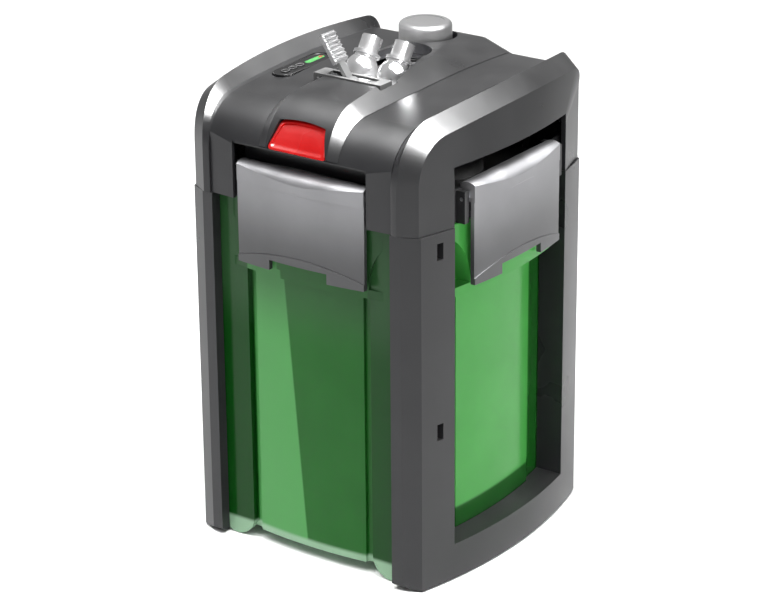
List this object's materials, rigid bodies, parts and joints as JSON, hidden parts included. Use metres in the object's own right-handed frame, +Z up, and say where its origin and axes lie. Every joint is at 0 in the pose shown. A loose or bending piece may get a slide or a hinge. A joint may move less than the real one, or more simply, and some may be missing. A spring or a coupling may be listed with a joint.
{
  "type": "external canister filter",
  "caption": "External aquarium canister filter: clear green canister in dark side frames, clipped-on pump head with red button, hose adapter with lever and priming button.",
  "frame": {"origin": "on the floor under the centre of the footprint", "axes": "+X to the right of the red button face, +Y from the red button face to the back, +Z up"},
  "size_m": [0.244, 0.2376, 0.4005],
  "materials": {
    "dark_plastic": "satin",
    "black_plastic": "matt",
    "green_plastic": "clear tinted",
    "light_plastic": "gloss",
    "grey_plastic": "satin",
    "clip_grey": "metallic satin",
    "red_plastic": "gloss",
    "black_gloss": "gloss",
    "green_light": "lit",
    "board_green": "satin",
    "black_rubber": "matt",
    "steel": "brushed",
    "copper": "enamelled wire",
    "ceramic_white": "glazed",
    "magnet": "ground",
    "ceramic_media": "porous",
    "foam_blue": "open cell",
    "fleece_white": "fleece"
  },
  "bodies": {
    "chassis": {"canister": "green_plastic", "clip_collars": "green_plastic", "frame_left": "dark_plastic", "frame_right": "dark_plastic", "rubber_feet": "black_rubber", "head_base": "dark_plastic", "head_gasket": "black_rubber", "head_cover": "dark_plastic", "arch_left": "dark_plastic", "arch_right": "dark_plastic", "centre_fascia": "dark_plastic", "adapter_well": "black_plastic", "lever_gate": "black_plastic", "adapter_body": "light_plastic", "spigot_rings": "grey_plastic", "lever_pin": "steel", "priming_cylinder": "black_plastic", "control_lens": "black_gloss", "light_bar": "green_light", "circuit_board": "board_green", "motor_housing": "black_plastic", "stator_core": "steel", "coil": "copper", "ceramic_shaft": "ceramic_white", "shaft_bushes": "black_rubber", "pump_cover": "black_plastic", "cable_gland": "black_rubber", "clip_pins": "steel", "down_tube": "black_plastic", "bottom_grid": "black_plastic", "basket_lower": "light_plastic", "basket_middle": "light_plastic", "basket_upper": "light_plastic", "prefilter_tray": "light_plastic", "media_lower": "ceramic_media", "media_middle": "ceramic_media", "foam_upper": "foam_blue", "prefilter_pad": "fleece_white", "basket_handles": "black_plastic"},
    "clip_front": {"clip_front": "clip_grey"},
    "clip_right": {"clip_right": "clip_grey"},
    "clip_rear": {"clip_rear": "clip_grey"},
    "clip_left": {"clip_left": "clip_grey"},
    "lever": {"lever": "light_plastic"},
    "ball_left": {"valve_ball_left": "light_plastic"},
    "ball_right": {"valve_ball_right": "light_plastic"},
    "red_button": {"red_button": "red_plastic", "red_button_spring": "steel"},
    "priming_button": {"priming_button": "grey_plastic", "piston_seal": "black_rubber", "priming_spring": "steel"},
    "key_down": {"key_down": "black_gloss"},
    "key_mode": {"key_mode": "black_gloss"},
    "key_up": {"key_up": "black_gloss"},
    "rotor": {"impeller": "light_plastic", "magnet_rotor": "magnet"}
  },
  "joints": [
    {"name": "clip_front_hinge", "type": "hinge", "parent": "chassis", "child": "clip_front", "pos_m": [0, -0.1078, 0.304], "axis": [-1, 0, 0], "range_deg": [0, 95]},
    {"name": "clip_right_hinge", "type": "hinge", "parent": "chassis", "child": "clip_right", "pos_m": [0.111, 0, 0.304], "axis": [0, -1, 0], "range_deg": [0, 95]},
    {"name": "clip_rear_hinge", "type": "hinge", "parent": "chassis", "child": "clip_rear", "pos_m": [0, 0.1078, 0.304], "axis": [1, 0, 0], "range_deg": [0, 95]},
    {"name": "clip_left_hinge", "type": "hinge", "parent": "chassis", "child": "clip_left", "pos_m": [-0.111, 0, 0.304], "axis": [0, 1, 0], "range_deg": [0, 95]},
    {"name": "lever_hinge", "type": "hinge", "parent": "chassis", "child": "lever", "pos_m": [-0.006, -0.039, 0.364], "axis": [0, 1, 0], "range_deg": [0, 66]},
    {"name": "ball_left_turn", "type": "hinge", "parent": "chassis", "child": "ball_left", "pos_m": [-0.022, -0.004, 0.364], "axis": [0, 1, 0], "range_deg": [0, 90.5]},
    {"name": "ball_right_turn", "type": "hinge", "parent": "chassis", "child": "ball_right", "pos_m": [0.008, -0.004, 0.364], "axis": [0, 1, 0], "range_deg": [0, 90.5]},
    {"name": "red_button_press", "type": "slide", "parent": "chassis", "child": "red_button", "axis": [0, 1, 0], "range_m": [0, 0.003], "stiffness_N_per_m": 400, "springref_m": -0.003, "deforming": ["red_button_spring"]},
    {"name": "priming_stroke", "type": "slide", "parent": "chassis", "child": "priming_button", "axis": [0, 0, -1], "range_m": [0, 0.015], "stiffness_N_per_m": 250, "springref_m": -0.01, "deforming": ["priming_spring"]},
    {"name": "key_down_press", "type": "slide", "parent": "chassis", "child": "key_down", "axis": [0, 0, -1], "range_m": [0, 0.0008], "stiffness_N_per_m": 300, "springref_m": -0.0008},
    {"name": "key_mode_press", "type": "slide", "parent": "chassis", "child": "key_mode", "axis": [0, 0, -1], "range_m": [0, 0.0008], "stiffness_N_per_m": 300, "springref_m": -0.0008},
    {"name": "key_up_press", "type": "slide", "parent": "chassis", "child": "key_up", "axis": [0, 0, -1], "range_m": [0, 0.0008], "stiffness_N_per_m": 300, "springref_m": -0.0008},
    {"name": "rotor_spin", "type": "hinge", "parent": "chassis", "child": "rotor", "pos_m": [0.036, 0.022, 0.3], "axis": [0, 0, 1], "continuous": true}
  ],
  "couplings": [
    {"joint": "ball_left_turn", "follows": "lever_hinge", "ratio": 1.36},
    {"joint": "ball_right_turn", "follows": "lever_hinge", "ratio": 1.36}
  ]
}
